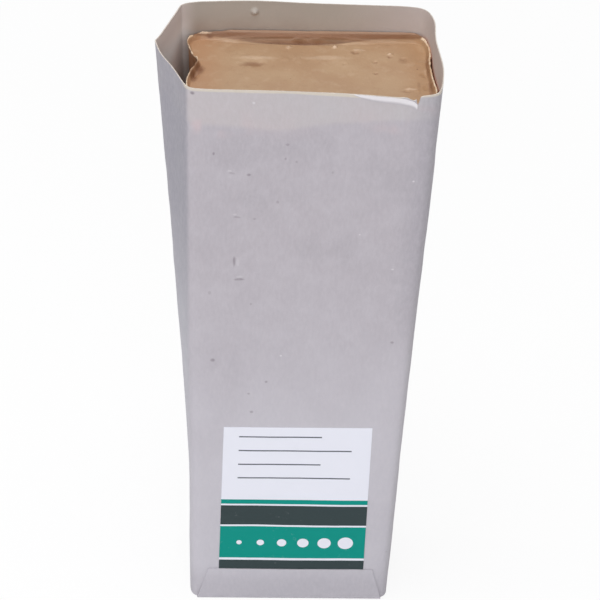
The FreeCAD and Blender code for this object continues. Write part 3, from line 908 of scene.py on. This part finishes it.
def label_print():
    """The printed label: a pale field with ruled lines, over bands of green and slate with a row of discs."""
    f = Finish("label_print")
    flat = f.add("ShaderNodeSeparateXYZ", {"Vector": f.add("ShaderNodeTexCoord").outputs["UV"]})
    across = f.maths("MULTIPLY", flat.outputs[0], LABEL_WIDTH)
    up = f.maths("MULTIPLY", flat.outputs[1], LABEL_HEIGHT)
    white, green, slate = tone(228, 229, 239), tone(0, 141, 129), tone(54, 66, 68)
    bands = f.add("ShaderNodeValToRGB", {"Fac": flat.outputs[1]})
    stops = bands.color_ramp
    stops.interpolation = "CONSTANT"
    starts = ((0.0, slate), (3.4, white), (4.1, green), (16.5, white),
              (17.2, slate), (24.6, white), (25.3, green), (27.0, white))
    stops.elements[0].color = slate
    stops.elements[1].position = starts[1][0] * MM / LABEL_HEIGHT
    stops.elements[1].color = white
    for low, colour in starts[2:]:
        stops.elements.new(low * MM / LABEL_HEIGHT).color = colour
    pitch = 6.4 * MM
    step = f.maths("DIVIDE", f.maths("SUBTRACT", across, 2.6 * MM), pitch)
    sideways = f.maths("MULTIPLY", f.maths("SUBTRACT", f.maths("FRACT", step), 0.5), pitch)
    upwards = f.maths("SUBTRACT", up, 10.3 * MM)
    squared = f.maths("ADD", f.maths("MULTIPLY", sideways, sideways), f.maths("MULTIPLY", upwards, upwards))
    radius = f.maths("ADD", f.maths("MULTIPLY", f.maths("FLOOR", step), 0.3 * MM), 0.8 * MM)
    disc = f.maths("LESS_THAN", f.maths("SQRT", squared), radius)
    inside = f.maths("MULTIPLY", f.maths("GREATER_THAN", step, 0.0), f.maths("LESS_THAN", step, 6.0))
    colour = f.mix(f.maths("MULTIPLY", disc, inside), bands.outputs[0], white)
    row = f.maths("DIVIDE", f.maths("SUBTRACT", up, 30.0 * MM), 5.2 * MM)
    thin = f.maths("LESS_THAN", f.maths("FRACT", row), 0.09)
    field = f.maths("MULTIPLY", f.maths("GREATER_THAN", row, 0.5), f.maths("LESS_THAN", row, 4.5))
    odd = f.maths("MODULO", f.maths("FLOOR", row), 2.0)
    end = f.maths("ADD", f.maths("MULTIPLY", odd, 9 * MM), 29 * MM)
    reach = f.maths("MULTIPLY", f.maths("GREATER_THAN", across, 4.6 * MM), f.maths("LESS_THAN", across, end))
    ruled = f.maths("MULTIPLY", f.maths("MULTIPLY", thin, field), reach)
    colour = f.mix(ruled, colour, tone(96, 100, 108))
    wear = f.noise(2.2 * MM, 5.0, 0.65)
    colour = f.mix(f.spread(wear, 0.62, 0.8, 0.0, 0.1), colour, tone(214, 214, 222))
    f.set(Base_Color=colour, Roughness=f.spread(wear, 0.3, 0.7, 0.4, 0.5))
    f.shader.inputs["Specular IOR Level"].default_value = 0.12
    f.bump(wear, 0.05 * MM)
    return f.material


def floor_finish():
    """A pale floor that reads white to the camera and keeps the shadow."""
    f = Finish("floor")
    f.set(Base_Color=tone(251, 251, 252), Roughness=0.9)
    seen = f.add("ShaderNodeLightPath").outputs["Is Camera Ray"]
    glow = f.add("ShaderNodeEmission", {"Strength": 1.0})
    both = f.add("ShaderNodeMixShader", {"Fac": f.maths("MULTIPLY", seen, FLOOR_GLOW)})
    f.tree.links.new(f.shader.outputs[0], both.inputs[1])
    f.tree.links.new(glow.outputs[0], both.inputs[2])
    f.tree.links.new(both.outputs[0], f.tree.nodes["Material Output"].inputs["Surface"])
    return f.material


# Stage

def add_camera():
    camera = bpy.data.cameras.new("camera")
    camera.sensor_width = 36.0
    camera.lens = LENS
    camera.clip_start = 0.05
    camera.clip_end = 20.0
    holder = bpy.data.objects.new("camera", camera)
    bpy.context.scene.collection.objects.link(holder)
    turn = Matrix.Rotation(math.radians(-CAMERA_YAW), 4, "Z")
    tip = Matrix.Rotation(math.radians(90.0 - CAMERA_PITCH), 4, "X")
    roll = Matrix.Rotation(math.radians(CAMERA_ROLL), 4, "Z")
    holder.matrix_world = Matrix.Translation(CAMERA_PLACE) @ turn @ tip @ roll
    bpy.context.scene.camera = holder


def add_lamp(name, place, power):
    """A square soft box that faces the middle of the sleeve."""
    lamp = bpy.data.lights.new(name, "AREA")
    lamp.shape = "SQUARE"
    lamp.size = LAMP_SIZE
    lamp.energy = power
    holder = bpy.data.objects.new(name, lamp)
    bpy.context.scene.collection.objects.link(holder)
    aim = Vector((0.0, 0.0, SLEEVE_HEIGHT / 2)) - Vector(place)
    holder.matrix_world = Matrix.Translation(place) @ aim.to_track_quat("-Z", "Y").to_matrix().to_4x4()


def add_surroundings():
    """White to the camera and in reflections, grey as a light."""
    world = bpy.data.worlds.new("studio")
    bpy.context.scene.world = world
    world.use_nodes = True
    tree = world.node_tree
    backdrop = tree.nodes["Background"]
    backdrop.inputs["Color"].default_value = (1.0, 1.0, 1.0, 1.0)
    path = tree.nodes.new("ShaderNodeLightPath")
    seen = path.outputs["Is Camera Ray"]
    for other in ("Is Glossy Ray", "Is Transmission Ray"):
        either = tree.nodes.new("ShaderNodeMath")
        either.operation = "MAXIMUM"
        tree.links.new(seen, either.inputs[0])
        tree.links.new(path.outputs[other], either.inputs[1])
        seen = either.outputs[0]
    level = tree.nodes.new("ShaderNodeMapRange")
    level.inputs["To Min"].default_value = FILL_LEVEL
    tree.links.new(seen, level.inputs["Value"])
    tree.links.new(level.outputs[0], backdrop.inputs["Strength"])


def add_floor():
    deselect()
    bpy.ops.mesh.primitive_plane_add(size=6.0, location=(0.0, 0.0, 0.0))
    floor = keep_place(bpy.context.object, "floor")
    floor.data.materials.append(floor_finish())


def join(pieces):
    make_active(pieces[0])
    for piece in pieces[1:]:
        piece.select_set(True)
    bpy.ops.object.join()
    return pieces[0]


# The piece, dressed

outer, inner, torn = soaked_paper(), inner_paper(), torn_paper()
sleeve = finish_sleeve(build_sleeve(), (outer, inner, torn))
label = build_label(sleeve)
sheets = [build_flap(sleeve), build_seam(sleeve), bare_ply(sleeve)]
for sheet, finish in zip(sheets, (outer, outer, bared_paper())):
    sheet.data.materials.append(finish)
tear_rim(sleeve)
sleeve = join([sleeve] + sheets)
bar = build_bar()
bar.data.materials.append(wax())
label.data.materials.append(label_print())

for piece, node, finish in ((sleeve, "paper_sleeve", "sleeve_paper"), (bar, "compound_bar", "compound"),
                            (label, "label", "label_paper")):
    shade(piece)
    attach(piece, "root")
    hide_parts(node)

bpy.context.scene.view_settings.view_transform = "Standard"
add_floor()
add_surroundings()
add_lamp("key", KEY_PLACE, KEY_POWER)
add_lamp("left", LEFT_PLACE, LEFT_POWER)
add_lamp("top", TOP_PLACE, TOP_POWER)
add_camera()
